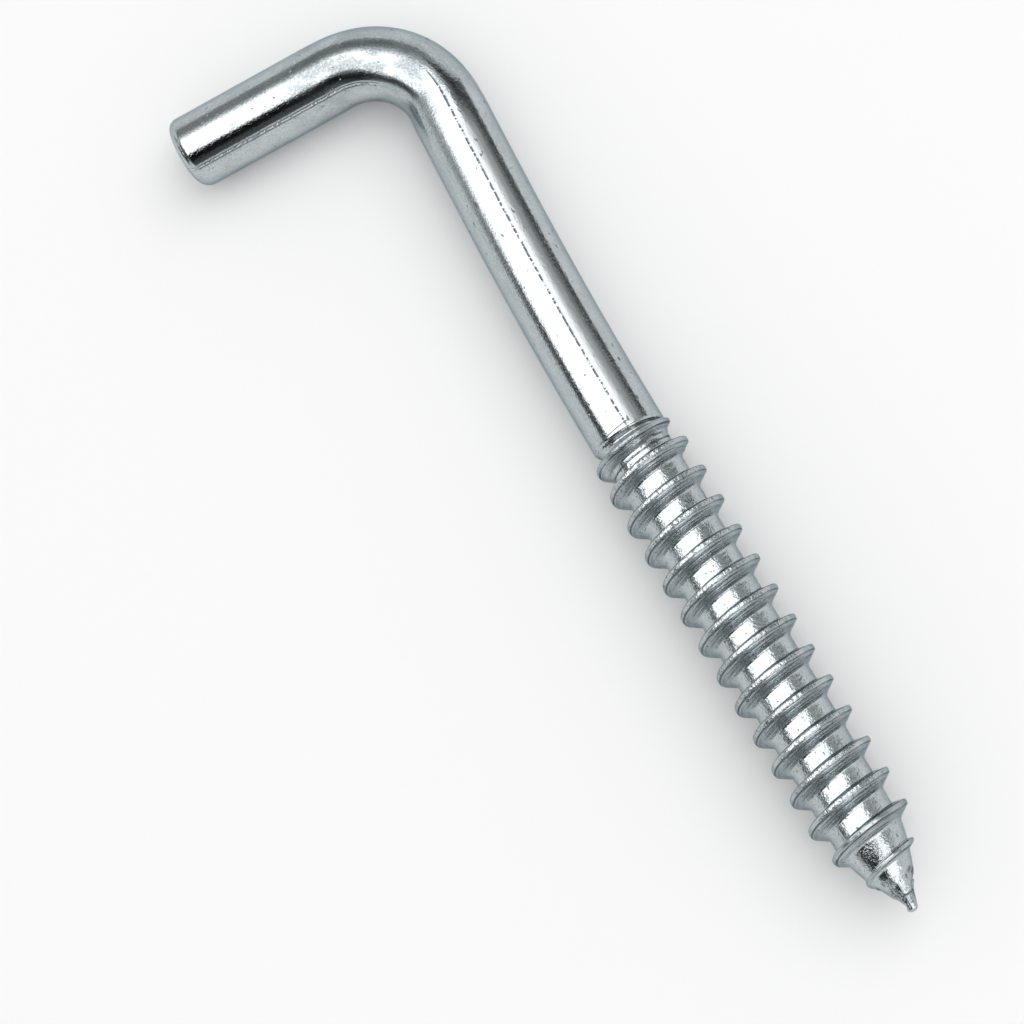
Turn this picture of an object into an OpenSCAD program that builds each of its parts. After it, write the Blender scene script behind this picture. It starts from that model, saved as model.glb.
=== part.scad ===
// Square-bend screw hook, bent from one piece of round wire.
// The long leg carries a coarse right-hand wood thread that runs to a point.
// The short leg is plain and ends in a cut face with a rounded edge.
// Units are millimetres. The hook lies as it comes to rest: on the short leg and on one crest.

/* [Wire] */
// Diameter of the round wire
wire_d = 6.0; // [5.8:0.1:7]
// From the point to the outer side of the short leg
overall_len = 81.6; // [78:0.2:110]
// Length of the short leg, from the outer side of the shank to its cut end
arm_len = 22.8; // [18:0.2:30]
// Rounding of the cut end's edge
end_round = 0.7; // [0.2:0.1:1.2]

/* [Bend] */
// Radius of the bend, measured to the middle of the wire
bend_r = 6.95; // [5:0.05:8]
// Angle the wire turns through in the bend
bend_deg = 88.3; // [84:0.1:96]
// Slight counter-bow of the shank
bow_deg = 3.2; // [1:0.1:5]
// Length of shank over which that bow is spread
bow_len = 21; // [8:0.5:22]
// Straight wire between that bow and the bend
bow_gap = 8.2; // [2:0.1:9]

/* [Thread] */
// Diameter over the crests
thread_d = 7.45; // [7:0.05:9]
// Diameter of the core between the turns
core_d = 5.3; // [4.8:0.05:5.7]
// Distance from one turn to the next
pitch = 2.64; // [2.2:0.02:3.5]
// Length of the thread with its point
thread_len = 42; // [32:0.2:43]
// Width of the crest
crest_w = 0.4; // [0.1:0.02:0.8]
// How much the crest's edges lie below its middle
crest_drop = 0.04; // [0.01:0.01:0.1]
// Slope of the flank that faces the point
front_flank_deg = 34; // [20:1:40]
// Slope of the flank that faces the bend
back_flank_deg = 13; // [5:1:30]
// Width of the fillet between flank and core
root_fillet = 0.2; // [0.05:0.01:0.35]
// Share of the flank's height taken by that fillet
fillet_share = 0.12; // [0.05:0.01:0.3]

/* [Point] */
// Length of the cone from the tip to the full core
point_len = 6.6; // [4:0.1:8]
// Fullness of the cone: 1 is straight, more is rounder
point_swell = 1.45; // [1:0.05:1.8]
// Rounding of the very tip
nib_r = 0.5; // [0.3:0.05:0.6]
// Where the ridge would first appear, on the short leg's side
thread_start = 0.5; // [0.45:0.05:1.6]
// Length over which the ridge grows to its full height
lead_len = 6.9; // [4:0.1:12]
// How slowly the ridge begins: 1 is even, more is slower
lead_power = 1.55; // [1:0.05:2]

/* [Run-out] */
// Length over which the ridge fades towards the shank
runout_len = 6.2; // [3:0.1:12]
// How long the ridge stays high before it fades: more is longer
runout_power = 3; // [1:0.25:4]
// Length of the shoulder from the core up to the full wire
shoulder_len = 0.5; // [0.3:0.05:1.5]
// Distance from the shoulder to the end of the thread
shoulder_back = 0.7; // [0:0.1:1.5]

/* [Hidden] */
wire_r = wire_d / 2;
thread_r = thread_d / 2;
core_r = core_d / 2;
ridge_h = thread_r - core_r;

// Facets of the smooth surfaces and of the thread
fine = 96;
around = 42;
$fn = fine;

// Bow and bend, seen from above: the thread's axis runs along X, the short leg to the +Y side
bow_r = bow_len / (bow_deg * PI / 180);
arm_deg = bend_deg - bow_deg;
bow_dx = bow_r * sin(bow_deg);
bow_dy = -bow_r * (1 - cos(bow_deg));
gap_dx = bow_dx + bow_gap * cos(bow_deg);
gap_dy = bow_dy - bow_gap * sin(bow_deg);
hub_dx = gap_dx + bend_r * sin(bow_deg);
hub_dy = gap_dy + bend_r * cos(bow_deg);
turn_dx = hub_dx + bend_r * sin(arm_deg);
turn_dy = hub_dy - bend_r * cos(arm_deg);

// The short leg's middle line meets the thread's axis at cross_x
cross_x = overall_len - wire_r;
cross_dx = turn_dx - turn_dy * cos(arm_deg) / sin(arm_deg);
bow_x = cross_x - cross_dx;
hub_x = bow_x + hub_dx;
turn_x = bow_x + turn_dx;
arm_straight = (arm_len - wire_r + gap_dy - turn_dy) / sin(arm_deg);
arm_end_x = turn_x + arm_straight * cos(arm_deg);
arm_end_y = turn_dy + arm_straight * sin(arm_deg);

// Shoulder at the end of the thread
shoulder_x = thread_len - shoulder_back - shoulder_len;
shoulder_bite = 0.05;
shank_len = bow_x - shoulder_x;

// Each bent piece is this much thinner in radius and reaches this far into the next piece
thinning = 0.01;
bite = 0.25;
bow_bite_deg = bite / bow_r * 180 / PI;
bend_bite_deg = bite / bend_r * 180 / PI;

// Core radius, ridge height and width of the thread at a distance x from the tip
function limit01(v) = max(0, min(1, v));
cone_share = 0.594;
cone_r = nib_r * cone_share;
function core_at(x) = core_r - (core_r - cone_r) * pow(1 - limit01(x / point_len), point_swell);
function rise_at(x) = pow(limit01((x - thread_start) / lead_len), lead_power);
function fall_at(x) = 1 - pow(limit01((x - thread_len + runout_len) / runout_len), runout_power);
function ridge_at(x) = ridge_h * rise_at(x) * fall_at(x);
narrowest = 0.3;
function width_at(x) = narrowest + (1 - narrowest) * ridge_at(x) / ridge_h;

// Seven rows make one turn: root, fillet, crest edge, crest, crest edge, fillet, root
rows = 7;
function half_crest(x) = width_at(x) * crest_w / 2;
function front_foot(x, up) = half_crest(x) + ridge_at(x) * (1 - up) * tan(front_flank_deg);
function back_foot(x, up) = half_crest(x) + ridge_at(x) * (1 - up) * tan(back_flank_deg);
function row_shift(x, q) =
    q == 0 ? -front_foot(x, 0) - root_fillet * width_at(x) :
    q == 1 ? -front_foot(x, fillet_share) :
    q == 2 ? -half_crest(x) :
    q == 3 ? 0 :
    q == 4 ? half_crest(x) :
    q == 5 ? back_foot(x, fillet_share) :
    back_foot(x, 0) + root_fillet * width_at(x);
function row_lift(x, q) =
    q == 0 || q == 6 ? 0 :
    q == 1 || q == 5 ? fillet_share * ridge_at(x) :
    q == 3 ? ridge_at(x) :
    ridge_at(x) * (1 - crest_drop / ridge_h);

// Point of the surface on turn t, row q, step j, with the angle counted from the short leg's side
function crest_x(t, j) = thread_start + pitch * (t + j / around);
function ring_point(x, r, j) = [x, r * cos(360 * j / around), r * sin(360 * j / around)];
function thread_point(t, q, j) =
    let (c = crest_x(t, j), x = c + row_shift(c, q))
    ring_point(x, core_at(x) + row_lift(c, q), j);

// Whole turns, and the flat ring inside the shank where the surface ends
turns = ceil((thread_len - thread_start) / pitch);
last_x = crest_x(turns, 0) + pitch / 2;

// Rounded tip, then the first ring of the cone
nib_angles = [22, 42, 61.4];
function nib_x(k) = nib_r * (1 - cos(nib_angles[k]));
function nib_ring_r(k) = min(nib_r * sin(nib_angles[k]), core_at(nib_x(k)));
nib_rings = len(nib_angles);

// Numbering of the points: tip, tip rings, turns, the last seam, the end ring, its middle
first_turn = 1 + nib_rings * around;
seam = first_turn + turns * rows * around;
end_ring = seam + rows;
end_mid = end_ring + around;
function nib_id(k, j) = 1 + k * around + j % around;
function end_id(j) = end_ring + j % around;
function id(t, q, j) =
    q == rows ? id(t + 1, 0, j) :
    j == around ? id(t + 1, q, 0) :
    t == turns ? seam + q :
    first_turn + (t * rows + q) * around + j;

points = concat(
    [[0, 0, 0]],
    [for (k = [0 : nib_rings - 1], j = [0 : around - 1]) ring_point(nib_x(k), nib_ring_r(k), j)],
    [for (t = [0 : turns - 1], q = [0 : rows - 1], j = [0 : around - 1]) thread_point(t, q, j)],
    [for (q = [0 : rows - 1]) thread_point(turns, q, 0)],
    [for (j = [0 : around - 1]) ring_point(last_x, core_r, j)],
    [[last_x, 0, 0]]
);

function quad(a, b, c, d) = [[a, c, b], [a, d, c]];
tip_faces = concat(
    [for (j = [0 : around - 1]) [0, nib_id(0, j), nib_id(0, j + 1)]],
    [for (k = [0 : nib_rings - 2], j = [0 : around - 1])
        each quad(nib_id(k, j), nib_id(k, j + 1), nib_id(k + 1, j + 1), nib_id(k + 1, j))]
);

// The last tip ring joins the first turn, whose seam is closed by a fan
b_ring = nib_rings - 1;
join_faces = concat(
    [for (j = [0 : around - 2])
        each quad(nib_id(b_ring, j), nib_id(b_ring, j + 1), id(0, 0, j + 1), id(0, 0, j))],
    [for (q = [0 : rows - 1]) [id(0, 0, around - 1), id(0, q + 1, 0), id(0, q, 0)]],
    [[id(0, 0, around - 1), id(0, 0, 0), nib_id(b_ring, 0)]],
    [[id(0, 0, around - 1), nib_id(b_ring, 0), nib_id(b_ring, around - 1)]]
);

turn_faces = [for (t = [0 : turns - 1], q = [0 : rows - 1], j = [0 : around - 1])
    if (t < turns - 1 || q < rows - 1)
        each quad(id(t, q, j), id(t, q, j + 1), id(t, q + 1, j + 1), id(t, q + 1, j))];

// The last turn joins the end ring, again with a fan along the seam
top = turns - 1;
end_row = rows - 1;
end_faces = concat(
    [for (j = [1 : around - 1])
        each quad(id(top, end_row, j), id(top, end_row, j + 1), end_id(j + 1), end_id(j))],
    [for (q = [0 : rows - 1])
        [id(top, end_row, 1), q == 0 ? id(top, end_row, 0) : id(turns, q - 1, 0), id(turns, q, 0)]],
    [[id(top, end_row, 1), id(turns, end_row, 0), end_id(0)]],
    [[id(top, end_row, 1), end_id(0), end_id(1)]],
    [for (j = [0 : around - 1]) [end_mid, end_id(j + 1), end_id(j)]]
);

// Rest: the short leg lies along the floor and the lowest crests carry the thread
low_side = 0.75;
function low_x(t) = thread_start + pitch * (t + low_side);
function low_r(t) = core_at(low_x(t)) + ridge_at(low_x(t));
function tilt_on(a, r) = atan(r / a) - asin(wire_r / sqrt(a * a + r * r));
tilt = max([for (t = [0 : turns - 1]) tilt_on(cross_x - low_x(t), low_r(t))]);
roll = asin(tan(tilt) * cos(arm_deg) / sin(arm_deg));

// Middle of the resting hook in plan, which is the origin
arm_reach_x = arm_end_x + (wire_r - end_round) * sin(arm_deg) - end_round * cos(arm_deg) + end_round;
bend_reach_x = arm_deg > 90 ? hub_x + bend_r + wire_r : 0;
low_x_end = -cross_x * cos(tilt);
high_x_end = max(arm_reach_x, bend_reach_x) - cross_x;
mid_x = (low_x_end + high_x_end) / 2;
arm_reach_y = arm_end_y - end_round * sin(arm_deg) + (wire_r - end_round) * abs(cos(arm_deg)) + end_round;
bend_reach_y = hub_dy - bend_r - wire_r + 2 * thinning;
mid_y = (arm_reach_y + min(-thread_r, bend_reach_y)) / 2;

module thread() {
    polyhedron(points = points, faces = concat(tip_faces, join_faces, turn_faces, end_faces));
}

// Turned about X: shoulder cone and plain wire up to the bow
module shank() {
    translate([shoulder_x, 0, 0])
        rotate([0, 90, 0])
            rotate_extrude()
                polygon([
                    [0, 0],
                    [core_r - shoulder_bite, 0],
                    [wire_r, shoulder_len],
                    [wire_r, shank_len],
                    [0, shank_len]
                ]);
}

// The wire is drawn a hair thinner where it is bent, and each bent piece runs into its neighbours
module bow() {
    translate([bow_x, -bow_r, 0])
        rotate([0, 0, 90 - bow_deg - bow_bite_deg])
            rotate_extrude(angle = bow_deg + 2 * bow_bite_deg)
                translate([bow_r, 0])
                    circle(r = wire_r - thinning);
}

module straight() {
    translate([bow_x + bow_dx, bow_dy, 0])
        rotate([0, 90, -bow_deg])
            cylinder(r = wire_r, h = bow_gap);
}

module bend() {
    translate([hub_x, hub_dy, 0])
        rotate([0, 0, -bow_deg - 90 - bend_bite_deg])
            rotate_extrude(angle = bend_deg + 2 * bend_bite_deg)
                translate([bend_r, 0])
                    circle(r = wire_r - 2 * thinning);
}

// Short leg with the rounded edge of its cut face
module arm() {
    translate([turn_x, turn_dy, 0])
        rotate([0, 0, arm_deg])
            rotate([0, 90, 0])
                rotate_extrude()
                    union() {
                        square([wire_r, arm_straight - end_round]);
                        square([wire_r - end_round, arm_straight]);
                        intersection() {
                            translate([wire_r - end_round, arm_straight - end_round])
                                circle(r = end_round);
                            square([wire_r, arm_straight]);
                        }
                    }
}

module screw_hook() {
    color([0.74, 0.76, 0.78])
        translate([-mid_x, -mid_y, wire_r])
            rotate([roll, tilt, 0])
                translate([-cross_x, 0, 0])
                    union() {
                        thread();
                        shank();
                        bow();
                        straight();
                        bend();
                        arm();
                    }
}

screw_hook();
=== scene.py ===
"""Square-bend screw hook in bright zinc, lying on a pale floor under soft studio light."""

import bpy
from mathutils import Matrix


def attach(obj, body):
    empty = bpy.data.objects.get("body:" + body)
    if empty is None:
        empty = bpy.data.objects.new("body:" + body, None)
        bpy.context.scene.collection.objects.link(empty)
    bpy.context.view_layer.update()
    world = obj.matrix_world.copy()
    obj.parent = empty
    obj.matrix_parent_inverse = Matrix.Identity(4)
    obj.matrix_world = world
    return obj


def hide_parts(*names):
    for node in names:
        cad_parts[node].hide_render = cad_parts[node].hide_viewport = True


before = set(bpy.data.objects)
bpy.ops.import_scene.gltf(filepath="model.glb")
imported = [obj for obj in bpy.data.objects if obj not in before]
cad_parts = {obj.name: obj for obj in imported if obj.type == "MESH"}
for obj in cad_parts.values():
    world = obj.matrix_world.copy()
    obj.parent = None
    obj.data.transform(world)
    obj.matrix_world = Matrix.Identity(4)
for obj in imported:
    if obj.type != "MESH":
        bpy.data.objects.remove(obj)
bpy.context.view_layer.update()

import logging
import math
from dataclasses import dataclass, field
from enum import Enum
from typing import Union

import bpy
import numpy as np
from mathutils import Matrix, Vector

LOG = logging.getLogger("hook")
MM = 0.001
TINY = 1e-6
Array = np.ndarray
Point = tuple[float, float, float]
Colour = tuple[float, float, float, float]
Span = tuple[float, float]
Amount = Union[float, Array]


# Curves that the forms share


def limit01(value: Array) -> Array:
    """Value held between 0 and 1."""
    return np.clip(value, 0.0, 1.0)


def ease(value: Array) -> Array:
    """Smooth step from 0 to 1: t * t * (3 - 2 t)."""
    t = limit01(value)
    return t * t * (3 - 2 * t)


def soft_min(a: Array, b: Array, width: Array) -> Array:
    """Smaller of two values, rounded: min(a, b) - max(width - |a - b|, 0)^2 / (4 width)."""
    return np.minimum(a, b) - np.maximum(width - np.abs(a - b), 0.0) ** 2 / (4 * width)


def soft_max(a: Array, b: Array, width: Array) -> Array:
    """Larger of two values, rounded in the same way."""
    return -soft_min(-a, -b, width)


def hump(value: Array, middle: Amount, width: float) -> Array:
    """Bell of height 1: exp(-((value - middle) / width)^2)."""
    return np.exp(-(((value - middle) / width) ** 2))


# Forms of the hook, in millimetres and degrees unless a name says otherwise


@dataclass
class WireForm:
    """Bent round wire.

    Its middle line runs straight from the point, bows slightly away from the short leg, runs
    straight again and turns through the bend into the short leg.
    """

    wire_d: float = 6.0
    overall_len: float = 81.6
    arm_len: float = 22.8
    end_round: float = 0.7
    bend_r: float = 6.95
    bend_deg: float = 88.3
    bow_deg: float = 3.2
    bow_len: float = 21.0
    bow_gap: float = 8.2
    bend_thin: float = 0.07
    thin_lead: float = 1.5
    solid_thin: float = 0.01

    def __post_init__(self) -> None:
        """Works out where each stretch starts, as the part's source does."""
        bow, self.arm_angle = math.radians(self.bow_deg), math.radians(self.bend_deg - self.bow_deg)
        arm, bow_r = self.arm_angle, self.bow_len / bow
        self.wire_r = self.wire_d / 2
        self.cross_x = self.overall_len - self.wire_r
        gap_dx = bow_r * math.sin(bow) + self.bow_gap * math.cos(bow)
        gap_dy = -bow_r * (1 - math.cos(bow)) - self.bow_gap * math.sin(bow)
        self.hub_dy = gap_dy + self.bend_r * math.cos(bow)
        turn_dx = gap_dx + self.bend_r * math.sin(bow) + self.bend_r * math.sin(arm)
        self.turn_y = self.hub_dy - self.bend_r * math.cos(arm)
        self.bow_x = self.cross_x - (turn_dx - self.turn_y / math.tan(arm))
        self.turn_x = self.bow_x + turn_dx
        self.arm_straight = (self.arm_len - self.wire_r + gap_dy - self.turn_y) / math.sin(arm)
        self.lengths = (self.bow_len, self.bow_gap, self.bend_r * (bow + arm), self.arm_straight)
        self.turns = (-bow, 0.0, bow + arm, 0.0)
        self.bend_start = self.bow_x + self.bow_len + self.bow_gap
        self.bend_end = self.bend_start + self.lengths[2]
        self.end = self.bow_x + sum(self.lengths)

    def centre(self, run: Array) -> tuple[Array, Array, Array]:
        """Middle line at a length along the wire.

        A stretch of length n that turns by a adds n * (sin(a t) / a, (1 - cos(a t)) / a), turned by
        the heading at its start, for t from 0 to 1.

        Args:
            run: Lengths along the wire from the point.

        Returns:
            x, y and heading in radians, each as large as run.
        """
        x, y, heading = np.minimum(run, self.bow_x), np.zeros_like(run), np.zeros_like(run)
        start, angle = self.bow_x, 0.0
        last = len(self.lengths) - 1
        for i, (length, turn) in enumerate(zip(self.lengths, self.turns)):
            part = np.maximum(run - start, 0.0)
            part = part if i == last else np.minimum(part, length)
            if turn:
                k = turn / length
                ahead, aside = np.sin(k * part) / k, (1 - np.cos(k * part)) / k
            else:
                ahead, aside = part, np.zeros_like(part)
            x = x + ahead * math.cos(angle) - aside * math.sin(angle)
            y = y + ahead * math.sin(angle) + aside * math.cos(angle)
            heading = heading + turn * part / length
            start, angle = start + length, angle + turn
        return x, y, heading

    def wrap(self, run: Array, radius: Array, turn: Array) -> Array:
        """Points of the surface: middle line + radius * (cos turn * side + sin turn * up).

        Args:
            run: Lengths along the wire.
            radius: Distances from the middle line.
            turn: Angles round the wire from the short leg's side, in radians.

        Returns:
            Points with one more axis of size 3.
        """
        x, y, heading = self.centre(run)
        side = radius * np.cos(turn)
        return np.stack([x - side * np.sin(heading), y + side * np.cos(heading), radius * np.sin(turn)], -1)

    def thinning(self, run: Array) -> Array:
        """How much thinner the wire is at a length along it: bend_thin, eased in and out."""
        rise = ease((run - self.bend_start + self.thin_lead) / (2 * self.thin_lead))
        return self.bend_thin * rise * ease((self.bend_end + self.thin_lead - run) / (2 * self.thin_lead))


@dataclass
class ThreadForm:
    """Coarse wood thread: core cone, growing ridge, run-out, crowded last turn and shoulder."""

    thread_d: float = 7.45
    core_d: float = 5.3
    pitch: float = 2.64
    thread_len: float = 42.0
    crest_w: float = 0.4
    crest_drop: float = 0.04
    front_flank_deg: float = 34.0
    back_flank_deg: float = 13.0
    point_len: float = 6.6
    point_swell: float = 1.45
    nib_r: float = 0.5
    cone_share: float = 0.594
    thread_start: float = 0.5
    lead_len: float = 6.9
    lead_power: float = 1.55
    runout_len: float = 6.2
    runout_power: float = 3.0
    shoulder_len: float = 0.5
    shoulder_back: float = 0.7
    late_power: float = 4.0
    late_extra: float = 0.8
    late_after: float = 1.4
    late_ease: float = 1.7
    crowd_by: float = 0.66
    crowd_before: float = 3.1
    crowd_ease: float = 2.5
    least_width: float = 0.3
    edge_round: Span = (0.008, 0.02)
    back_edge: float = 1.5
    foot_round: Span = (0.02, 0.24)
    fold_before: float = 4.2
    fold_after: float = 0.8
    fold_ease: float = 1.5
    front_fold: Point = (0.16, -0.62, 0.13)
    back_fold: Point = (0.07, 0.42, 0.1)

    def __post_init__(self) -> None:
        """Works out radii and the number of turns."""
        self.thread_r, self.core_r = self.thread_d / 2, self.core_d / 2
        self.ridge_h = self.thread_r - self.core_r
        self.turns = math.ceil((self.thread_len - self.thread_start) / self.pitch)
        self.runout_x = self.thread_len - self.runout_len

    def core(self, x: Array) -> Array:
        """Radius of the core: core_r - (core_r - tip) * (1 - x / point_len)^point_swell."""
        tip = self.nib_r * self.cone_share
        return self.core_r - (self.core_r - tip) * (1 - limit01(x / self.point_len)) ** self.point_swell

    def shoulder(self, x: Array) -> Array:
        """Share of the step up to the plain wire at x."""
        return ease((x - self.thread_len + self.shoulder_back + self.shoulder_len) / self.shoulder_len)

    def ridge(self, x: Array) -> Array:
        """Height of the ridge: ridge_h * (x / lead_len)^lead_power * (1 - (run-out share)^runout_power)."""
        rise = limit01((x - self.thread_start) / self.lead_len) ** self.lead_power
        fall = 1 - limit01((x - self.runout_x) / self.runout_len) ** self.runout_power
        return self.ridge_h * rise * fall

    def rolled_ridge(self, x: Array) -> Array:
        """Height of the ridge as rolled: it stays high for longer before it runs into the shoulder."""
        late = 1 - limit01((x - self.runout_x) / (self.runout_len + self.late_extra)) ** self.late_power
        blend = ease((x - self.runout_x - self.late_after) / self.late_ease)
        return self.ridge(x) * (1 - blend) + self.ridge_h * late * blend

    def crowding(self, x: Array) -> Array:
        """How far the last turn's crest is crowded towards the point."""
        return self.crowd_by * ease((x - self.thread_len + self.crowd_before) / self.crowd_ease)

    def width(self, x: Array) -> Array:
        """Share of the full section's width at x."""
        return self.least_width + (1 - self.least_width) * self.rolled_ridge(x) / self.ridge_h

    def lift(self, crest: Array, aside: Array) -> Array:
        """Height over the core at a distance along the axis from the crest's middle.

        The section is the smallest of a crest line and two flank lines, with rounded edges, and the
        larger of that and 0, with a fillet. The roundings grow with the ridge's height.

        Args:
            crest: Place of the crest's middle along the axis.
            aside: Distance from it, negative towards the point.

        Returns:
            Height over the core.
        """
        high = self.rolled_ridge(crest)
        grown = high / self.ridge_h
        half = self.width(crest) * self.crest_w / 2
        front = high + (aside + half) / math.tan(math.radians(self.front_flank_deg))
        back = high - (aside - half) / math.tan(math.radians(self.back_flank_deg))
        top = high - self.crest_drop * limit01(np.abs(aside) / half) ** 2
        edge = self.edge_round[0] + self.edge_round[1] * grown
        body = soft_min(soft_min(top, front, edge), back, self.back_edge * edge)
        foot = self.foot_round[0] + self.foot_round[1] * grown
        return np.where(high > TINY, soft_max(body, np.zeros_like(body), foot), 0.0)

    def folds(self, crest: Array, aside: Array, angle: Array) -> Array:
        """Height of the two folds beside the last turn's crest: a bell across, a wave along.

        Args:
            crest: Place of the crest's middle along the axis.
            aside: Distance from it.
            angle: Angle round the axis in radians.

        Returns:
            Height in millimetres.
        """
        late = ease((crest - self.thread_len + self.fold_before) / self.fold_ease)
        late = late * ease((self.thread_len + self.fold_after - crest) / self.fold_ease)
        wave = 0.6 + 0.4 * np.sin(5 * angle + 1.5 * np.sin(3 * angle))
        front_h, front_at, front_w = self.front_fold
        back_h, back_at, back_w = self.back_fold
        front = front_h * wave * hump(aside, front_at, front_w)
        return late * (front + back_h * hump(aside, back_at, back_w))


@dataclass
class TipForm:
    """Flats and steps that forming leaves on the last stretch of the cone."""

    flats: int = 7
    flat_turn: float = 0.1
    flat_share: float = 0.8
    flat_end: float = 2.3
    flat_ease: float = 0.3
    flat_from: float = 0.25
    first_ease: float = 0.5
    far_step: Span = (2.45, 0.14)
    far_wave: float = 0.28
    near_step: Span = (1.42, 0.12)
    near_wave: float = 0.16
    step_ease: float = 0.09
    step_from: float = 0.2
    mark_back: float = 0.02
    mark_width: float = 0.07
    seam_width: float = 0.05
    seam_mark: float = 0.6
    mark_from: float = 0.3

    def marks(self, x: Array, angle: Array, core: Array) -> tuple[Array, Array]:
        """Depth of flats and steps.

        A flat lowers the radius r to r * cos(half) / cos(angle from its middle). Each step is an
        eased drop towards the tip along an edge whose place waves with the angle.

        Args:
            x: Length along the axis.
            angle: Angle round it in radians.
            core: Radius of the core there.

        Returns:
            Depth in millimetres, and how dark the edge of a step is.
        """
        pie = math.tau / self.flats
        off = np.mod(angle + self.flat_turn, pie) - pie / 2
        near_tip = ease((self.flat_end - x) / self.flat_ease)
        flat = np.maximum(core * (1 - math.cos(pie / 2) / np.cos(off)) * self.flat_share, 0.0)
        flat = flat * near_tip * ease((x - self.flat_from) / self.first_ease)
        far = self.far_step[0] + self.far_wave * np.abs(np.sin(1.5 * (angle - 1.45)))
        near = self.near_step[0] + self.near_wave * np.sin(2 * angle + 0.6)
        far_drop = self.far_step[1] * ease((far - x) / self.step_ease)
        steps = far_drop + self.near_step[1] * ease((near - x) / self.step_ease)
        mark = sum(hump(x, edge - self.mark_back, self.mark_width) for edge in (far, near))
        seam = hump((np.abs(off) - pie / 2) * core, 0.0, self.seam_width) * near_tip
        dark = limit01(mark + self.seam_mark * seam) * ease((x - self.mark_from) / self.mark_from)
        return flat + steps * ease((x - self.step_from) / self.first_ease), dark


@dataclass
class RestingPlace:
    """Turns and shifts the hook to where it lies: short leg on the floor, thread on its lowest crest."""

    wire: WireForm
    thread: ThreadForm
    low_side: float = 0.75

    def __post_init__(self) -> None:
        """Works out tilt, roll and middle as the part's source does."""
        wire, thread = self.wire, self.thread
        lows = thread.thread_start + thread.pitch * (np.arange(thread.turns) + self.low_side)
        reach, crest = wire.cross_x - lows, thread.core(lows) + thread.ridge(lows)
        tilt = float(np.max(np.arctan(crest / reach) - np.arcsin(wire.wire_r / np.hypot(reach, crest))))
        arm, end_round, flat_r = wire.arm_angle, wire.end_round, wire.wire_r - wire.end_round
        roll = math.asin(math.tan(tilt) * math.cos(arm) / math.sin(arm))
        self.turn = np.array(Matrix.Rotation(tilt, 3, "Y") @ Matrix.Rotation(roll, 3, "X"))
        end_x = wire.turn_x + wire.arm_straight * math.cos(arm)
        end_y = wire.turn_y + wire.arm_straight * math.sin(arm)
        high_x = end_x + flat_r * math.sin(arm) - end_round * math.cos(arm) + end_round - wire.cross_x
        high_y = end_y - end_round * math.sin(arm) + flat_r * abs(math.cos(arm)) + end_round
        bend_y = wire.hub_dy - wire.bend_r - wire.wire_r + 2 * wire.solid_thin
        low_x, low_y = -wire.cross_x * math.cos(tilt), min(-thread.thread_r, bend_y)
        self.shift = np.array([-(high_x + low_x) / 2, -(high_y + low_y) / 2, wire.wire_r])
        self.pivot = np.array([wire.cross_x, 0.0, 0.0])

    def place(self, points: Array) -> Array:
        """Moves points from the thread's frame to where the hook lies.

        Args:
            points: Points in millimetres, last axis of size 3.

        Returns:
            The same points in metres.
        """
        return ((points - self.pivot) @ self.turn.T + self.shift) * MM


# Surface


@dataclass
class SurfaceDraft:
    """Points of the straight wire and the faces between them, gathered block by block."""

    blocks: list[Array] = field(default_factory=list)
    faces: list[Array] = field(default_factory=list)
    count: int = 0

    def add(self, run: Array, radius: Amount, angle: Amount, aside: Amount = 0.0,
            share: Amount = 0.0, mark: Amount = 0.0) -> Array:
        """Adds points. The arrays are spread to one shape.

        Args:
            run: Lengths along the wire.
            radius: Distances from its middle.
            angle: Angles round it in radians.
            aside: Distances from the nearest crest.
            share: Share of the ridge's height.
            mark: Darkness of a step's edge.

        Returns:
            The points' numbers in that shape.
        """
        values = np.broadcast_arrays(run, radius, angle, aside, share, mark)
        ids = np.arange(self.count, self.count + values[0].size).reshape(values[0].shape)
        self.blocks.append(np.stack([value.ravel() for value in values]).astype(float))
        self.count += ids.size
        return ids

    def columns(self) -> Array:
        """All points: run, radius, angle, aside, share and mark, one row each."""
        return np.concatenate(self.blocks, axis=1)

    def add_grid(self, ids: Array, closed: bool = True) -> None:
        """Joins neighbouring points of a grid with rows along the wire, facing outwards.

        Args:
            ids: Numbers of the grid's points.
            closed: Whether the last column meets the first.
        """
        after = np.roll(ids, -1, 1) if closed else ids[:, 1:]
        here = ids if closed else ids[:, :-1]
        self.faces.append(np.stack([here[:-1], after[:-1], after[1:], here[1:]], -1).reshape(-1, 4))

    def add_fan(self, middle: int, line: Array) -> None:
        """Joins a point to each pair of neighbours of a line of points."""
        self.faces.append(np.stack([np.full(len(line) - 1, middle), line[1:], line[:-1]], -1))

    def add_face(self, *corners: int) -> None:
        """Joins single points to one face."""
        self.faces.append(np.array([corners]))


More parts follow.
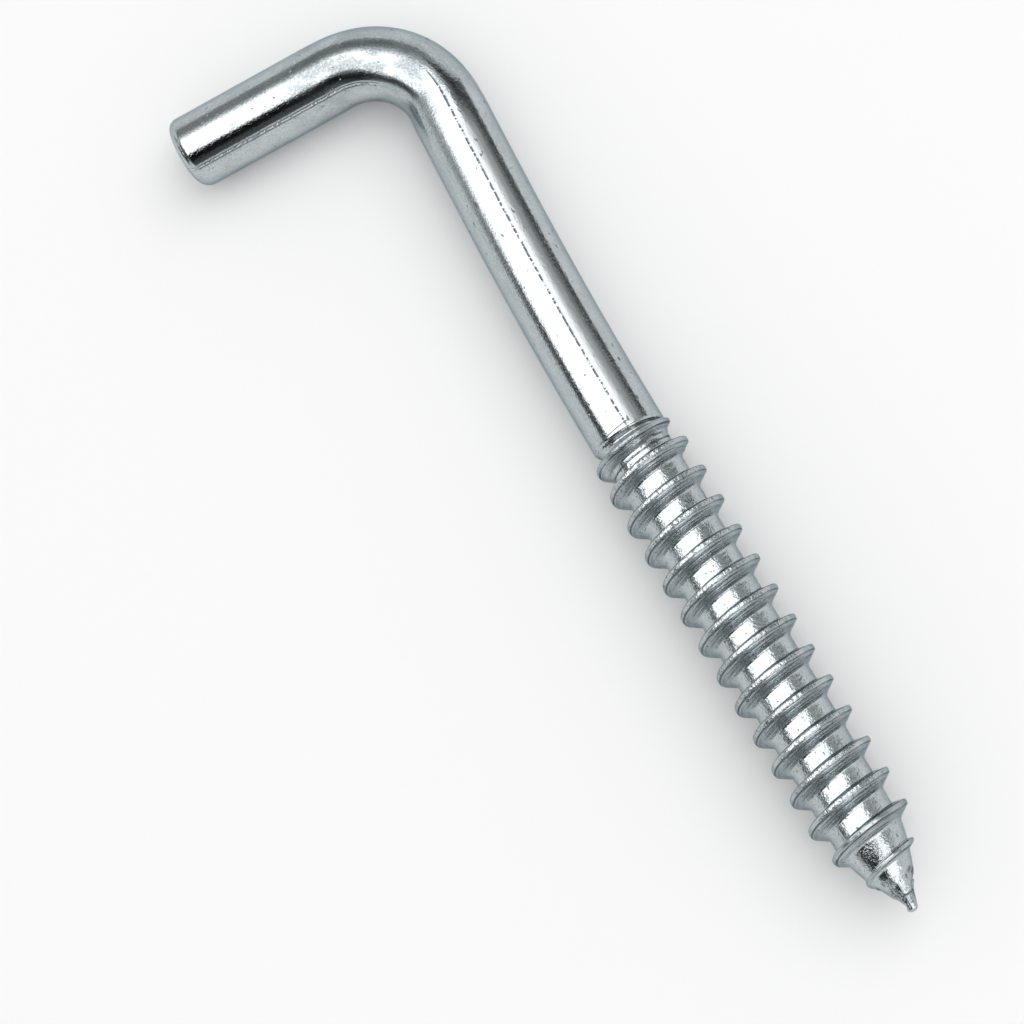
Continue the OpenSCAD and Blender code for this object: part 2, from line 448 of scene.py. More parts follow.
@dataclass
class HookWire:
    """The whole hook as one closed surface, worked out on a straight wire and wrapped along its path."""

    wire: WireForm = field(default_factory=WireForm)
    thread: ThreadForm = field(default_factory=ThreadForm)
    tip: TipForm = field(default_factory=TipForm)
    name: str = "hook_wire"
    skin: float = 0.012
    around: int = 96
    seam_turn: float = -0.25
    row_knots: tuple[tuple[int, float], ...] = (
        (0, -1.2), (6, -0.86), (11, -0.27), (16, -0.13), (19, 0.13),
        (24, 0.27), (27, 0.4), (32, 0.64), (38, 1.44),
    )
    even_before: float = 5.5
    even_ease: float = 2.5
    nib_rings: int = 5
    nib_step_deg: float = 12.0
    tip_x: float = 0.3
    smooth_x: float = 1.2
    smooth_reach: float = 2.4
    smooth_slope: float = 0.25
    ring_gap: float = 0.35
    shank_rows: int = 70
    bend_rows: int = 100
    arm_rows: int = 34
    bend_margin: float = 0.5
    edge_r: Span = (0.92, 0.22)
    edge_rows: int = 14
    edge_stop: float = 1.25
    crease: Point = (0.05, 24.0, 7.0)
    crease_side: Span = (0.4, 0.8)
    cap_shares: tuple[float, ...] = (0.94, 0.84, 0.7, 0.5, 0.25)

    def __post_init__(self) -> None:
        """Prepares resting place, draft and the angles of a ring."""
        self.rest = RestingPlace(self.wire, self.thread)
        self.draft = SurfaceDraft()
        self.rows = self.row_knots[-1][0]
        self.ring_angles = math.tau * (np.arange(self.around) / self.around + self.seam_turn)

    def row_asides(self, crest: Array, row: Array) -> Array:
        """Distance of a row from the crest's middle, narrowed where the ridge is low.

        Args:
            crest: Place of the crest's middle along the axis.
            row: Row number from 0 to rows.

        Returns:
            Distances in millimetres.
        """
        thread = self.thread
        rows, places = zip(*self.row_knots)
        scale, scale_next = thread.width(crest), thread.width(crest + thread.pitch)
        near = np.interp(row, rows, places) * scale
        t = limit01((row - rows[-2]) / (rows[-1] - rows[-2]))
        far = places[-2] * scale + t * (thread.pitch + places[0] * scale_next - places[-2] * scale)
        shaped = np.where(row <= rows[-2], near, far)
        even = places[0] + thread.pitch * row / self.rows
        blend = ease((crest - (thread.thread_len - self.even_before)) / self.even_ease)
        return shaped * (1 - blend) + even * blend

    def ease_tip(self, x: Array) -> Array:
        """Presses the rows before smooth_x into the stretch behind the rounded tip, in order."""
        low = self.smooth_x - self.smooth_reach
        t = limit01((x - low) / self.smooth_reach)
        curve = self.smooth_slope * t + (1 - self.smooth_slope) * t**3
        return np.where(x < self.smooth_x, self.tip_x + (self.smooth_x - self.tip_x) * curve, x)

    def body_radius(self, x: Array, angle: Array, crest: Array, aside: Array) -> tuple[Array, Array, Array]:
        """Radius of the threaded part: the larger of core, ridge and folds, and of the shoulder.

        Args:
            x: Length along the axis.
            angle: Angle round it in radians.
            crest: Place of the crest's middle.
            aside: Distance from it.

        Returns:
            Radius, the ridge's share of its height, and the marks on the tip.
        """
        thread = self.thread
        core, lift, shoulder = thread.core(x), thread.lift(crest, aside), thread.shoulder(x)
        depth, mark = self.tip.marks(x, angle, core)
        plain = core + (self.wire.wire_r - thread.core_r) * shoulder - depth
        body = core - depth + lift + thread.folds(crest, aside, angle) * (1 - shoulder)
        return np.maximum(plain, body) - self.skin, limit01(lift / thread.ridge_h), mark

    def build_tip(self) -> Array:
        """Adds the rounded tip: rings of a small ball, no wider than the marked cone.

        Returns:
            Numbers of its last ring.
        """
        bow = np.radians(self.nib_step_deg * np.arange(1, self.nib_rings + 1))[:, None]
        x = self.thread.nib_r * (1 - np.cos(bow))
        core = self.thread.core(x)
        cone = core - self.tip.marks(x, self.ring_angles, core)[0]
        middle = self.draft.add(np.zeros(1), 0.0, 0.0)[0]
        nib = self.draft.add(x, np.minimum(self.thread.nib_r * np.sin(bow), cone), self.ring_angles)
        self.draft.add_fan(middle, np.append(nib[0], nib[0, 0]))
        self.draft.add_grid(nib)
        return nib[-1]

    def build_thread(self, tip_ring: Array) -> tuple[Array, float]:
        """Adds cone and turns as one helical sheet, closed along its seam.

        A row of the sheet follows the helix, so the sheet's last column meets the first one a turn
        further on. Short fans close the steps that this leaves at both ends.

        Args:
            tip_ring: Numbers of the tip's last ring.

        Returns:
            Numbers of the first ring of the plain wire, and its length along the wire.
        """
        draft, n, rows = self.draft, self.around, self.rows
        full = (self.thread.turns + 1) * rows
        turn, row = np.divmod(np.arange(full + rows), rows)
        crest = turn[:, None] + self.seam_turn + np.arange(n) / n
        crest = self.thread.thread_start + self.thread.pitch * crest
        aside = self.row_asides(crest, row[:, None])
        x = self.ease_tip(crest + aside - self.thread.crowding(crest))
        radius, share, mark = self.body_radius(x, self.ring_angles, crest, aside)
        sheet = draft.add(x[:full], radius[:full], self.ring_angles, aside[:full], share[:full], mark[:full])
        after = (value[full:, 0] for value in (aside, share))
        extra = draft.add(x[full:, 0], radius[full:, 0], self.ring_angles[0], *after)
        seam = np.append(sheet[:, 0], extra)
        wide = np.concatenate([sheet, seam[rows:, None]], 1)
        draft.add_grid(wide, closed=False)
        draft.add_grid(np.stack([tip_ring, sheet[0]]), closed=False)
        draft.add_face(tip_ring[-1], tip_ring[0], sheet[0, -1])
        draft.add_face(sheet[0, -1], tip_ring[0], sheet[0, 0])
        draft.add_fan(sheet[0, -1], seam[: rows + 1][::-1])
        ring_x = float(x[full - 1].max()) + self.ring_gap
        ring = draft.add(np.full(n, ring_x), self.wire.wire_r - self.skin, self.ring_angles)
        last = wide[-1]
        draft.add_grid(np.stack([last[1:], np.append(ring[1:], ring[0])]), closed=False)
        draft.add_fan(last[1], np.append(last[0], extra))
        draft.add_face(last[1], ring[0], extra[-1])
        draft.add_face(last[1], ring[1], ring[0])
        return ring, ring_x

    def build_wire(self, ring: Array, ring_x: float) -> None:
        """Adds the plain wire from the thread to the cut end.

        The radius is the wire's, slightly less in the bend. The end's edge is a quarter circle whose
        radius is larger on the inner side, with a faint crease, and the face is hollow by one skin.

        Args:
            ring: Numbers of the ring to start from.
            ring_x: Length along the wire of that ring.
        """
        wire, around, end = self.wire, self.ring_angles, self.wire.end - self.skin
        bend_from, bend_to = wire.bend_start - self.bend_margin, wire.bend_end + self.bend_margin
        stations = (ring_x, bend_from, bend_to, wire.end - self.edge_stop)
        counts = (self.shank_rows, self.bend_rows, self.arm_rows)
        pieces = [np.linspace(a, b, n)[1:] for a, b, n in zip(stations, stations[1:], counts)]
        run = np.concatenate(pieces)[:, None]
        tube = self.draft.add(run, wire.wire_r - self.skin - wire.thinning(run), around)
        edge = self.edge_r[0] + self.edge_r[1] * np.cos(around)
        steps = np.linspace(0, math.pi / 2, self.edge_rows)[:, None]
        depth, crease_at, crease_w = self.crease
        crease = depth * hump(np.degrees(steps), crease_at, crease_w)
        crease = crease * ease((np.sin(around) + self.crease_side[0]) / self.crease_side[1])
        flat_r = wire.wire_r - self.skin - edge
        edge_run = end - edge + edge * np.sin(steps)
        rounded = self.draft.add(edge_run, flat_r + edge * np.cos(steps) - crease, around)
        share = np.array(self.cap_shares)[:, None]
        cap = self.draft.add(end - self.skin * (1 - share), flat_r * share, around)
        middle = self.draft.add(np.full(1, end - self.skin), 0.0, 0.0)[0]
        self.draft.add_grid(np.concatenate([ring[None, :], tube, rounded, cap]))
        self.draft.add_fan(middle, np.append(cap[-1], cap[-1, 0])[::-1])

    def build(self) -> bpy.types.Object:
        """Makes the Blender object, with the straight wire's coordinates as attributes.

        Returns:
            The new object, linked to the scene.
        """
        ring, ring_x = self.build_thread(self.build_tip())
        self.build_wire(ring, ring_x)
        run, radius, angle, aside, share, mark = self.draft.columns()
        points = self.rest.place(self.wire.wrap(run, radius, angle))
        faces = [corners for block in self.draft.faces for corners in block.tolist()]
        data = bpy.data.meshes.new(self.name)
        data.from_pydata(points.tolist(), [], faces)
        data.polygons.foreach_set("use_smooth", np.ones(len(data.polygons), bool))
        straight = np.stack([run, radius * np.cos(angle), radius * np.sin(angle)], -1)
        for title, values in (("straight", straight), ("ridge", np.stack([aside, share, angle], -1))):
            layer = data.attributes.new(title, "FLOAT_VECTOR", "POINT")
            layer.data.foreach_set("vector", values.astype(np.float32).ravel())
        data.attributes.new("mark", "FLOAT", "POINT").data.foreach_set("value", mark.astype(np.float32))
        data.validate()
        data.update()
        piece = bpy.data.objects.new(self.name, data)
        bpy.context.scene.collection.objects.link(piece)
        return piece

    def dress(self, piece: bpy.types.Object, finish: "ZincFinish") -> None:
        """Gives the piece its finish and tells the frame what it stands for.

        Args:
            piece: The hook's object.
            finish: The finish it gets.
        """
        piece.data.materials.append(finish.material())
        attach(piece, "root")
        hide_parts("screw_hook")


# Shader maths


Value = Union["Signal", float]
Socket = bpy.types.NodeSocket


@dataclass(frozen=True)
class Signal:
    """One output socket, with arithmetic that adds Math nodes."""

    desk: "Desk"
    socket: Socket

    def __add__(self, other: Value) -> "Signal":
        """Sum."""
        return self.desk.math("ADD", self, other)

    def __sub__(self, other: Value) -> "Signal":
        """Difference."""
        return self.desk.math("SUBTRACT", self, other)

    def __rsub__(self, other: Value) -> "Signal":
        """Difference from a number."""
        return self.desk.math("SUBTRACT", other, self)

    def __mul__(self, other: Value) -> "Signal":
        """Product."""
        return self.desk.math("MULTIPLY", self, other)

    def __truediv__(self, other: Value) -> "Signal":
        """Quotient."""
        return self.desk.math("DIVIDE", self, other)

    def __rtruediv__(self, other: Value) -> "Signal":
        """Number divided by this."""
        return self.desk.math("DIVIDE", other, self)

    def __pow__(self, other: Value) -> "Signal":
        """Power."""
        return self.desk.math("POWER", self, other)

    def __rpow__(self, other: Value) -> "Signal":
        """Number raised to this."""
        return self.desk.math("POWER", other, self)

    def __abs__(self) -> "Signal":
        """Size without its sign."""
        return self.desk.math("ABSOLUTE", self)

    __radd__ = __add__
    __rmul__ = __mul__

    def high(self, other: Value) -> "Signal":
        """Larger of the two."""
        return self.desk.math("MAXIMUM", self, other)

    def low(self, other: Value) -> "Signal":
        """Smaller of the two."""
        return self.desk.math("MINIMUM", self, other)

    def step(self, start: float, stop: float) -> "Signal":
        """Smooth step from 0 at start to 1 at stop."""
        sockets = {0: self, 1: start, 2: stop, 3: 0.0, 4: 1.0}
        return self.desk.signal("ShaderNodeMapRange", {"interpolation_type": "SMOOTHSTEP"}, sockets)


class Desk:
    """Makes the nodes of one node tree."""

    def __init__(self, tree: bpy.types.NodeTree) -> None:
        """Empties the tree.

        Args:
            tree: The node tree to fill.
        """
        self.tree = tree
        tree.nodes.clear()

    def node(self, kind: str, settings: dict, sockets: dict) -> bpy.types.Node:
        """Makes a node, with its settings first and then its sockets.

        Args:
            kind: Node type.
            settings: Attributes of the node.
            sockets: Input name or number to a value, a signal or an output socket.

        Returns:
            The node.
        """
        node = self.tree.nodes.new(kind)
        for key, value in settings.items():
            setattr(node, key, value)
        for key, value in sockets.items():
            value = value.socket if isinstance(value, Signal) else value
            if isinstance(value, Socket):
                self.tree.links.new(value, node.inputs[key])
            else:
                node.inputs[key].default_value = value
        return node

    def signal(self, kind: str, settings: dict, sockets: dict, output: Union[str, int] = 0) -> Signal:
        """Makes a node and wraps one of its outputs.

        Args:
            kind: Node type.
            settings: Attributes of the node.
            sockets: Input name or number to a value, a signal or an output socket.
            output: Name or number of the output.

        Returns:
            The output.
        """
        return Signal(self, self.node(kind, settings, sockets).outputs[output])

    def math(self, operation: str, a: Value, b: Value = 0.0) -> Signal:
        """Adds a Math node.

        Args:
            operation: Its operation.
            a: First value.
            b: Second value.

        Returns:
            The result.
        """
        return self.signal("ShaderNodeMath", {"operation": operation}, {0: a, 1: b})

    def parts(self, vector: Socket) -> tuple[Signal, Signal, Signal]:
        """The three parts of a vector."""
        outputs = self.node("ShaderNodeSeparateXYZ", {}, {0: vector}).outputs
        return tuple(Signal(self, outputs[i]) for i in range(3))

    def noise(self, vector: Socket, cells: Point, detail: float = 2.0, rough: float = 0.5) -> Signal:
        """Noise on a stretched vector.

        Args:
            vector: Coordinates.
            cells: Cells per unit along each axis.
            detail: Octaves.
            rough: How strong the finer octaves are.

        Returns:
            Noise around 0.5.
        """
        stretched = self.node("ShaderNodeVectorMath", {"operation": "MULTIPLY"}, {0: vector, 1: cells})
        sockets = {"Vector": stretched.outputs[0], "Scale": 1.0, "Detail": detail, "Roughness": rough}
        return self.signal("ShaderNodeTexNoise", {}, sockets, "Fac")

    def blend(self, factor: Value, a: Union[Colour, Socket], b: Union[Colour, Socket]) -> Socket:
        """Mix of two colours, from a at 0 to b at 1."""
        return self.node("ShaderNodeMix", {"data_type": "RGBA"}, {0: factor, 6: a, 7: b}).outputs[2]


# Finishes


@dataclass(frozen=True)
class WireChart:
    """Where on the hook a point of the surface is, with masks of its stretches."""

    wire: Socket
    ridge: Socket
    along: Signal
    aside: Signal
    turn: Signal
    step_edge: Signal
    plain: Signal
    on_ridge: Signal
    crest: Signal


@dataclass(frozen=True)
class ZincNoise:
    """Noises of the finish, each around 0.5; specks are steps of theirs from 0 to 1."""

    grain: Signal
    specks: Signal
    worm: Signal
    cloud: Signal
    streaks: Signal
    dents: Signal


@dataclass(frozen=True)
class ZincMarks:
    """Masks of what drawing, bending and rolling left on the wire, and of the bend's top, which gets painted
    shade over its highlight and a rougher finish; each from 0 to 1.
    """

    frost: Signal
    groove: Signal
    dashes: Signal
    bent: Signal
    top_shade_and_satin: Signal
    rim: Signal
    chatter: Signal
    dark: Signal


@dataclass(frozen=True)
class ZincFinish:
    """Bright zinc over drawn and rolled wire.

    Cells are noise cells per millimetre, and steps are where a mask starts and is full. The spans
    shank_end, line_end, leg_start, bent_start and bent_end are millimetres past bend_mm, a place
    on the shank a little before the bend.
    """

    light: Colour = (0.56, 0.595, 0.61, 1.0)
    dull: Colour = (0.385, 0.425, 0.44, 1.0)
    frosted: Colour = (0.57, 0.59, 0.60, 1.0)
    # Dark colour of pits and marks, also used as painted shade on the bend's top.
    pit_and_shade: Colour = (0.08, 0.09, 0.10, 1.0)
    dash: Colour = (0.84, 0.88, 0.90, 1.0)
    edge_tint: Colour = (0.52, 0.60, 0.63, 1.0)
    bump_mm: float = 0.04
    bend_mm: float = 65.5
    plain_mm: Span = (40.6, 41.4)
    shank_mm: Span = (41.0, 41.6)
    shank_end: Span = (2.0, 6.0)
    ridge_share: Span = (0.05, 0.3)
    crest_share: Span = (0.93, 0.97)
    grain_cells: Point = (5.5, 5.5, 5.5)
    speck_cells: Point = (9.0, 9.0, 9.0)
    speck_step: Span = (0.48, 0.66)
    worm_cells: Point = (2.6, 4.2, 4.2)
    cloud_cells: Point = (0.5, 0.9, 0.9)
    streak_cells: Point = (11.0, 5.0, 1.3)
    dent_cells: Point = (3.4, 4.4, 4.4)
    wander_cells: Point = (0.8, 0.1, 0.1)
    wander_deg: float = 0.9
    line_deg: float = 101.0
    line_width: Span = (0.6, 2.1)
    line_end: Span = (6.0, 10.0)
    dot_cells: Point = (4.6, 1.5, 1.5)
    dot_step: Span = (0.42, 0.54)
    frost_start: Span = (100.0, 103.0)
    frost_end: Span = (120.0, 132.0)
    leg_start: Span = (11.0, 14.0)
    leg_line_deg: float = 43.0
    leg_wander: float = 0.6
    groove_width: Span = (1.5, 5.0)
    dash_width: Span = (0.8, 2.0)
    dash_cells: Point = (2.6, 1.6, 1.6)
    dash_step: Span = (0.44, 0.54)
    bent_start: Span = (4.0, 9.0)
    bent_end: Span = (18.0, 22.0)
    top_start: Span = (48.0, 64.0)
    top_end: Span = (106.0, 120.0)
    pit_cells: Point = (1.5, 3.0, 3.0)
    pit_step: Span = (0.73, 0.77)
    hole_step: Span = (0.655, 0.71)
    rim_mm: float = 0.225
    rim_width: Span = (0.03, 0.08)
    chatter_step: Span = (0.58, 0.64)
    edge_step: Span = (0.25, 0.42)
    dark_share: float = 0.92
    chatter_share: float = 0.75
    # How far painted shade darkens the bend's top, where its highlight falls.
    top_shade_share: float = 0.42
    groove_share: float = 0.3
    dash_share: float = 0.6
    rough: float = 0.06
    cloud_rough: float = 0.06
    dark_rough: float = 0.2
    frost_rough: float = 0.22
    rolled_rough: float = 0.08
    top_satin_rough: float = 0.12

    def chart(self, desk: Desk) -> WireChart:
        """Reads the attributes of the piece.

        Args:
            desk: The material's desk.

        Returns:
            Their sockets and parts, with the turn in degrees.
        """
        names = ("straight", "ridge", "mark")
        nodes = [desk.node("ShaderNodeAttribute", {"attribute_name": name}, {}) for name in names]
        wire, ridge = (node.outputs["Vector"] for node in nodes[:2])
        along = desk.parts(wire)[0]
        aside, share, turn = desk.parts(ridge)
        return WireChart(
            wire, ridge, along, aside, turn * (180 / math.pi), Signal(desk, nodes[2].outputs["Fac"]),
            along.step(*self.plain_mm), share.step(*self.ridge_share), share.step(*self.crest_share),
        )

    def past_bend(self, at: WireChart, span: Span) -> Signal:
        """Smooth step along the wire, with its places counted from bend_mm."""
        return at.along.step(self.bend_mm + span[0], self.bend_mm + span[1])

    def noises(self, desk: Desk, at: WireChart) -> ZincNoise:
        """Makes the noises.

        Args:
            desk: The material's desk.
            at: Where the point is.

        Returns:
            The noises.
        """
        return ZincNoise(
            desk.noise(at.wire, self.grain_cells, 2.0, 0.6),
            desk.noise(at.wire, self.speck_cells, 1.0, 0.5).step(*self.speck_step),
            desk.noise(at.wire, self.worm_cells, 3.0, 0.6),
            desk.noise(at.wire, self.cloud_cells, 3.0, 0.6),
            desk.noise(at.ridge, self.streak_cells, 3.0, 0.6),
            desk.noise(at.wire, self.dent_cells, 2.0, 0.6),
        )

    def marks(self, desk: Desk, at: WireChart, noise: ZincNoise) -> ZincMarks:
        """Makes the masks of the marks.

        The shank has a dotted die line with a frosted strip beside it, the short leg a scratched groove with
        bright dashes. The bend's top, where the overhead highlight falls, gets painted shade that dims the
        highlight, and a rougher finish. The crest has dark rims and chatter.

        Args:
            desk: The material's desk.
            at: Where the point is.
            noise: The noises.

        Returns:
            The masks.
        """
        wander = (desk.noise(at.wire, self.wander_cells, 3.0, 0.6) * 2 - 1) * self.wander_deg
        dots = desk.noise(at.wire, self.dot_cells, 2.0, 0.7).step(*self.dot_step)
        line = (1 - abs(at.turn + wander - self.line_deg).step(*self.line_width)) * dots
        line = line * at.plain * (1 - self.past_bend(at, self.line_end))
        frost = (at.turn + wander).step(*self.frost_start) * (1 - at.turn.step(*self.frost_end))
        frost = frost * at.along.step(*self.shank_mm) * (1 - self.past_bend(at, self.shank_end))
        leg = self.past_bend(at, self.leg_start)
        off_leg = abs(at.turn + wander * self.leg_wander - self.leg_line_deg)
        dashes = desk.noise(at.wire, self.dash_cells, 2.0, 0.6).step(*self.dash_step)
        bent = self.past_bend(at, self.bent_start) * (1 - self.past_bend(at, self.bent_end))
        # The bend's top, where the overhead highlight falls: painted shade darkens its colour to dim the
        # highlight, and the same mask roughens it.
        top_shade_and_satin = bent * at.turn.step(*self.top_start) * (1 - at.turn.step(*self.top_end))
        top_shade_and_satin = top_shade_and_satin * (0.3 + 0.7 * noise.cloud.step(0.36, 0.6))
        rim = (1 - abs(abs(at.aside) - self.rim_mm).step(*self.rim_width)) * at.on_ridge
        pits = desk.noise(at.wire, self.pit_cells, 1.0, 0.4).step(*self.pit_step)
        holes = noise.dents.step(*self.hole_step) * (1 - at.plain)
        chatter = at.crest * at.on_ridge * noise.dents.step(*self.chatter_step)
        return ZincMarks(
            frost=frost,
            groove=(1 - off_leg.step(*self.groove_width)) * leg,
            dashes=(1 - off_leg.step(*self.dash_width)) * leg * dashes,
            bent=bent,
            top_shade_and_satin=top_shade_and_satin * (0.6 + 0.4 * noise.grain.step(0.35, 0.6)),
            rim=rim * (0.35 + 0.65 * noise.streaks.step(0.38, 0.55)),
            chatter=chatter * noise.cloud.step(0.46, 0.6),
            dark=line.high(pits.high(holes) * 0.8).high(at.step_edge * noise.grain.step(*self.edge_step)),
        )

    def height(self, at: WireChart, noise: ZincNoise, marks: ZincMarks) -> Signal:
        """Height of the relief in shares of bump_mm.

        Args:
            at: Where the point is.
            noise: The noises.
            marks: The masks of the marks.

        Returns:
            Height.
        """
        fine = noise.grain * 0.2 + noise.specks * 0.05 + noise.worm * marks.frost * 0.35
        flanks = at.on_ridge * (1 - at.crest) * noise.streaks * 2.0
        crest = at.crest * noise.dents * (1.2 + 1.2 * noise.cloud.step(0.4, 0.6))
        core = (1 - at.plain) * (1 - at.on_ridge) * noise.dents * 0.8
        cuts = marks.groove * 0.3 + marks.dark * 0.8 + marks.rim * 0.7
        return fine + flanks + crest + core + marks.dashes * 0.3 - cuts

    def tone(self, desk: Desk, at: WireChart, noise: ZincNoise, marks: ZincMarks) -> Socket:
        """Colour, laid on in turn: plating, painted shade on the bend's top together with the leg's groove,
        dashes, frost and what is dark.

        Args:
            desk: The material's desk.
            at: Where the point is.
            noise: The noises.
            marks: The masks of the marks.

        Returns:
            The colour.
        """
        rolled = at.on_ridge * (1 - at.crest)
        patch = noise.cloud.step(0.3, 0.7) * (0.35 + marks.bent * 0.4) + noise.grain.step(0.36, 0.64) * 0.4
        patch = patch + noise.specks * 0.4 + rolled * noise.streaks.step(0.42, 0.6) * 0.7
        deep = rolled * noise.streaks.step(0.58, 0.68) * 0.45
        dark = (marks.dark * self.dark_share).high(marks.rim)
        dark = dark.high(marks.chatter * self.chatter_share).high(deep)
        tone = desk.blend(patch.low(1.0), self.light, self.dull)
        # Painted shade on the bend's top, where its highlight falls, joined with the darker groove on the
        # short leg.
        top_shade_and_groove = (marks.top_shade_and_satin * self.top_shade_share).high(marks.groove * self.groove_share)
        tone = desk.blend(top_shade_and_groove, tone, self.pit_and_shade)
        tone = desk.blend(marks.dashes * self.dash_share, tone, self.dash)
        tone = desk.blend(marks.frost * (0.7 + 0.3 * noise.grain), tone, self.frosted)
        return desk.blend(dark, tone, self.pit_and_shade)

    def material(self) -> bpy.types.Material:
        """Makes the material.

        Returns:
            The material.
        """
        material = bpy.data.materials.new("zinc_plate")
        material.use_nodes = True
        desk = Desk(material.node_tree)
        at = self.chart(desk)
        noise = self.noises(desk, at)
        marks = self.marks(desk, at, noise)
        relief = {"Strength": 1.0, "Distance": self.bump_mm * MM, "Height": self.height(at, noise, marks)}
        rough = self.rough + self.cloud_rough * noise.cloud + marks.dark * self.dark_rough
        rough = rough + marks.frost * self.frost_rough + (1 - at.plain) * self.rolled_rough
        shader = desk.node("ShaderNodeBsdfPrincipled", {}, {
            "Base Color": self.tone(desk, at, noise, marks),
            "Metallic": 1.0,
            "Roughness": rough + marks.top_shade_and_satin * self.top_satin_rough,
            "Specular Tint": self.edge_tint,
            "Normal": desk.node("ShaderNodeBump", {}, relief).outputs[0],
        })
        desk.node("ShaderNodeOutputMaterial", {}, {0: shader.outputs[0]})
        return material


@dataclass(frozen=True)
class PaperFinish:
    """Plain pale paper of the floor."""

    tone: Colour = (0.94, 0.94, 0.94, 1.0)
    rough: float = 0.8
    shine: float = 0.1

    def material(self) -> bpy.types.Material:
        """Makes the material.

        Returns:
            The material.
        """
        material = bpy.data.materials.new("floor_paper")
        material.use_nodes = True
        desk = Desk(material.node_tree)
        sockets = {"Base Color": self.tone, "Roughness": self.rough, "Specular IOR Level": self.shine}
        shader = desk.node("ShaderNodeBsdfPrincipled", {}, sockets)
        desk.node("ShaderNodeOutputMaterial", {}, {0: shader.outputs[0]})
        return material


# Studio, in metres


@dataclass(frozen=True)
class LampForm:
    """Place and aim, width and height, radiance, and whether gloss shows it and it lights the floor."""

    place: Point
    aim: Point
    width: float
    height: float
    radiance: float
    in_gloss: bool
    on_floor: bool


class Lamp(Enum):
    """The lamps of the studio."""

    OVERHEAD = LampForm((0.15, 0.23, 1.0), (0.15, 0.23, 0.0), 0.9, 1.92, 2.4, True, False)
    OVERHEAD_EDGE = LampForm((0.69, 0.1, 1.0), (0.69, 0.1, 0.0), 0.18, 1.3, 0.8, True, False)
    POINT_CARD = LampForm((-0.096, -0.036, 0.062), (-0.038, -0.009, 0.006), 0.08, 0.075, 2.0, True, False)
    KEY = LampForm((0.2, -0.75, 1.2), (0.0, 0.0, 0.0), 1.3, 1.3, 1.35, False, True)

    def build(self) -> bpy.types.Object:
        """Makes one soft lamp. Its power is radiance * pi * area.

        Returns:
            The lamp.
        """
        form, name = self.value, self.name.lower()
        data = bpy.data.lights.new(name, "AREA")
        data.shape, data.size, data.size_y = "RECTANGLE", form.width, form.height
        data.energy = form.radiance * math.pi * form.width * form.height
        lamp = bpy.data.objects.new(name, data)
        lamp.location = form.place
        lamp.rotation_euler = (Vector(form.aim) - Vector(form.place)).to_track_quat("-Z", "Y").to_euler()
        lamp.visible_camera, lamp.visible_glossy, lamp.visible_diffuse = False, form.in_gloss, form.on_floor
        bpy.context.scene.collection.objects.link(lamp)
        return lamp


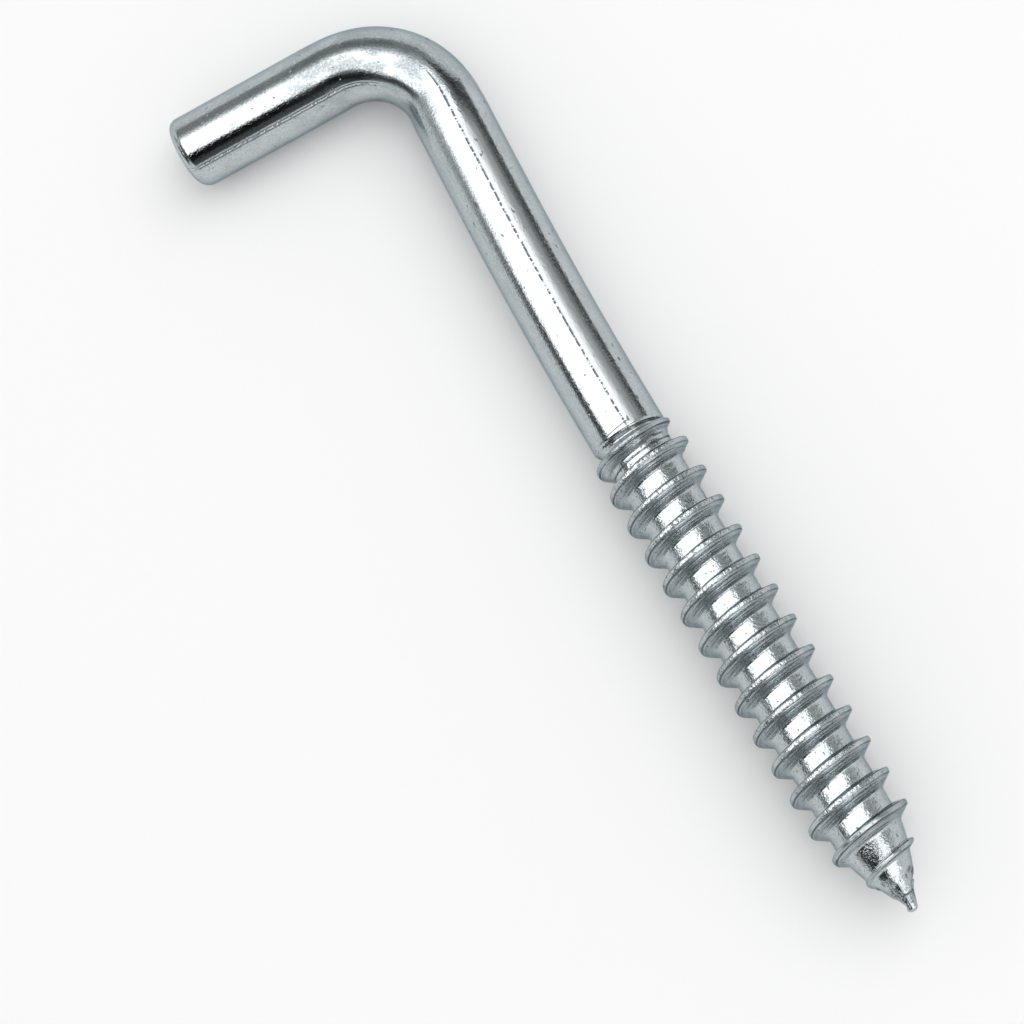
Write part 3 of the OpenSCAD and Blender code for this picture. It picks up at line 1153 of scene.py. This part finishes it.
@dataclass(frozen=True)
class Walls:
    """Painted walls and ceiling round the hook.

    A direction is a point of a round map: straight up is its middle and the horizon is at distance
    1. Steps are places on that map, x towards the bend and y the way the short leg points.
    """

    fill: float = 0.79
    backdrop: float = 0.945
    ground: float = 0.9
    least: float = 0.004
    shade: float = 0.93
    tint: Colour = (0.97, 1.0, 1.0, 1.0)
    white: Colour = (1.0, 1.0, 1.0, 1.0)
    black: Colour = (0.0, 0.0, 0.0, 1.0)
    horizon: Span = (0.76, 0.84)
    right: Span = (0.27, 0.31)
    right_dim: Span = (0.44, 0.52)
    right_levels: Span = (0.62, 0.30)
    far: Span = (0.5, 0.54)
    far_level: float = 0.07
    left: Span = (-0.52, -0.44)
    left_level: float = 0.09
    left_end: Span = (-0.74, -0.64)
    left_end_level: float = 0.45
    near_y: Span = (-0.62, -0.52)
    near_x: tuple[Span, Span] = ((0.235, 0.28), (0.36, 0.42))
    streak_x: float = 0.345
    streak_y: float = 0.6
    streak_slope: float = 0.3
    streak_edge: Span = (0.05, 0.09)
    streak_end: Span = (-0.42, -0.34)
    side_y: Span = (-0.46, -0.38)
    side_x: Span = (0.22, 0.28)
    side_level: float = 0.5

    def level(self, desk: Desk) -> Signal:
        """Brightness of the walls as gloss shows them.

        Args:
            desk: The world's desk.

        Returns:
            Level from 0 to 1.
        """
        x, y, z = desk.parts(desk.node("ShaderNodeTexCoord", {}, {}).outputs["Generated"])
        fall = desk.math("ARCCOSINE", z) * (2 / math.pi)
        scale = fall / (1 - z * z).high(TINY) ** 0.5
        px, py = x * scale, y * scale
        low = fall.step(*self.horizon)
        bright, dimmed = self.right_levels
        right = px.step(*self.right) * (bright - dimmed * px.step(*self.right_dim))
        far = py.step(*self.far) * self.far_level
        left = (1 - px.step(*self.left)) * self.left_level
        left = left + (1 - px.step(*self.left_end)) * self.left_end_level
        level = (right.high(far) + left) * (1 - low) + low * self.ground
        near = (1 - py.step(*self.near_y)) * px.step(*self.near_x[0]) * (1 - px.step(*self.near_x[1]))
        off_streak = abs(px - self.streak_x - (py + self.streak_y) * self.streak_slope)
        streak = (1 - off_streak.step(*self.streak_edge)) * (1 - py.step(*self.streak_end))
        side = (1 - py.step(*self.side_y)) * (1 - px.step(*self.side_x)) * self.side_level
        return level.high(side) * (1 - near.high(streak) * self.shade) + self.least

    def build(self) -> None:
        """Makes the world: gloss sees the painted walls, the camera the backdrop, the rest even light."""
        world = bpy.data.worlds.new("studio_walls")
        bpy.context.scene.world = world
        world.use_nodes = True
        desk = Desk(world.node_tree)
        level = self.level(desk)
        path = desk.node("ShaderNodeLightPath", {}, {}).outputs
        gloss, seen = Signal(desk, path["Is Glossy Ray"]), Signal(desk, path["Is Camera Ray"])
        level = level * gloss + (1 - gloss) * (self.fill + seen * (self.backdrop - self.fill))
        colour = desk.blend(level.low(1.0), self.black, desk.blend(gloss, self.white, self.tint))
        back = desk.node("ShaderNodeBackground", {}, {"Color": colour, "Strength": 1.0})
        desk.node("ShaderNodeOutputWorld", {}, {0: back.outputs[0]})


@dataclass(frozen=True)
class Floor:
    """Square of paper that the hook lies on."""

    half: float = 6.0

    def build(self) -> bpy.types.Object:
        """Makes the floor.

        Returns:
            The floor.
        """
        r = self.half
        data = bpy.data.meshes.new("floor")
        data.from_pydata([(-r, -r, 0), (r, -r, 0), (r, r, 0), (-r, r, 0)], [], [(0, 1, 2, 3)])
        data.materials.append(PaperFinish().material())
        floor = bpy.data.objects.new("floor", data)
        bpy.context.scene.collection.objects.link(floor)
        return floor


@dataclass(frozen=True)
class ViewCamera:
    """Camera at the photograph's angle: its place, its three axes and its lens."""

    place: Point = (-0.0622195, -0.0297616, 0.2405389)
    right: Point = (-0.4910908, -0.8361612, -0.2442628)
    up: Point = (0.8343336, -0.5321023, 0.1440648)
    back: Point = (-0.2504342, -0.1330478, 0.9589479)
    lens: float = 114.902
    sensor: float = 36.0
    clip: Span = (0.01, 30.0)

    def build(self) -> bpy.types.Object:
        """Makes the camera and sets it.

        Returns:
            The camera.
        """
        data = bpy.data.cameras.new("view")
        data.lens, data.sensor_width, data.sensor_fit = self.lens, self.sensor, "HORIZONTAL"
        data.clip_start, data.clip_end = self.clip
        camera = bpy.data.objects.new("view", data)
        turn = Matrix((self.right, self.up, self.back)).transposed().to_4x4()
        camera.matrix_world = Matrix.Translation(self.place) @ turn
        bpy.context.scene.collection.objects.link(camera)
        bpy.context.scene.camera = camera
        return camera


def main() -> None:
    """Builds hook and studio in order and reports each piece."""
    logging.basicConfig(level=logging.INFO, format="%(name)s: %(message)s")
    hook = HookWire()
    piece = hook.build()
    hook.dress(piece, ZincFinish())
    LOG.info("%s: %d points, %d faces", piece.name, len(piece.data.vertices), len(piece.data.polygons))
    LOG.info("%s: stage", Floor().build().name)
    Walls().build()
    for lamp in Lamp:
        LOG.info("%s: lamp", lamp.build().name)
    LOG.info("%s: camera", ViewCamera().build().name)
    bpy.context.scene.view_settings.view_transform = "Standard"


if __name__ == "__main__":
    main()
